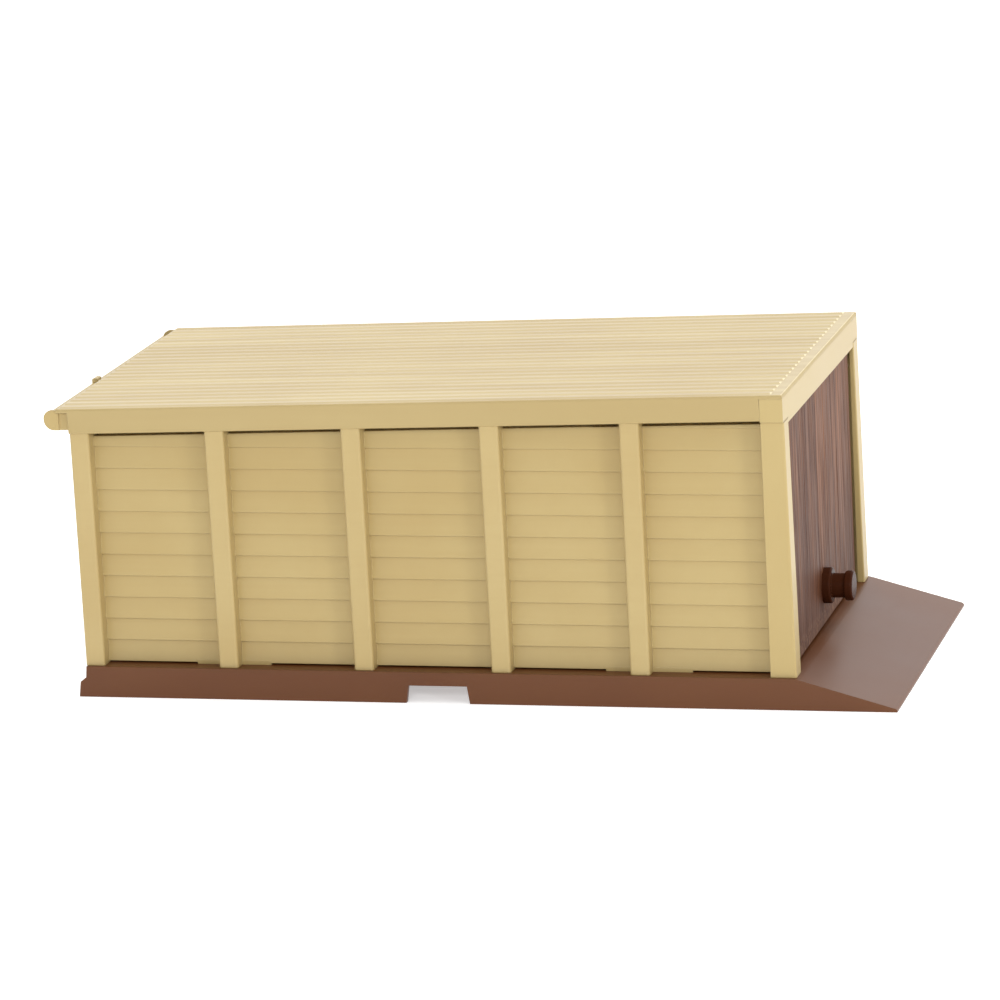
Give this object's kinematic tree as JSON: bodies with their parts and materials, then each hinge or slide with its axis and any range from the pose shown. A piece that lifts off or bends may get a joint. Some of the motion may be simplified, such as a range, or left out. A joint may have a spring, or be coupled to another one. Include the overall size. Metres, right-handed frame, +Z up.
{
  "type": "calf hutch",
  "caption": "Miniature calf hutch: lapped-board walls, ribbed low-fall roof with rear gutter, hollow base with ramp, and a top-hinged flap door with a pull knob.",
  "frame": {"origin": "middle of the footprint, on the ground", "axes": "+X from the rear gutter toward the ramp's tip, +Y across toward the right-hand wall, +Z up"},
  "size_m": [0.3516, 0.1642, 0.1293],
  "materials": {
    "cream_plastic": "satin",
    "brown_plastic": "satin",
    "knob_plastic": "gloss",
    "screw_steel": "brushed"
  },
  "bodies": {
    "hutch": {"base_tray": "brown_plastic", "side_wall_left": "cream_plastic", "side_wall_right": "cream_plastic", "rear_wall": "cream_plastic", "front_post_left": "cream_plastic", "front_post_right": "cream_plastic", "front_header": "cream_plastic", "door_stop": "brown_plastic", "roof_panel": "cream_plastic", "gutter_trough": "cream_plastic", "gutter_end_cap_left": "cream_plastic", "gutter_end_cap_right": "cream_plastic", "gutter_bracket": "cream_plastic", "base_screws": "screw_steel", "roof_screws": "screw_steel", "pivot_pin_left": "cream_plastic", "pivot_pin_right": "cream_plastic"},
    "door": {"door_leaf": "brown_plastic", "door_knob": "knob_plastic", "knob_screw": "screw_steel"}
  },
  "joints": [
    {"name": "door_flap", "type": "hinge", "parent": "hutch", "child": "door", "pos_m": [0.1297, 0, 0.1074], "axis": [0, -1, 0], "range_deg": [0, 135]}
  ]
}
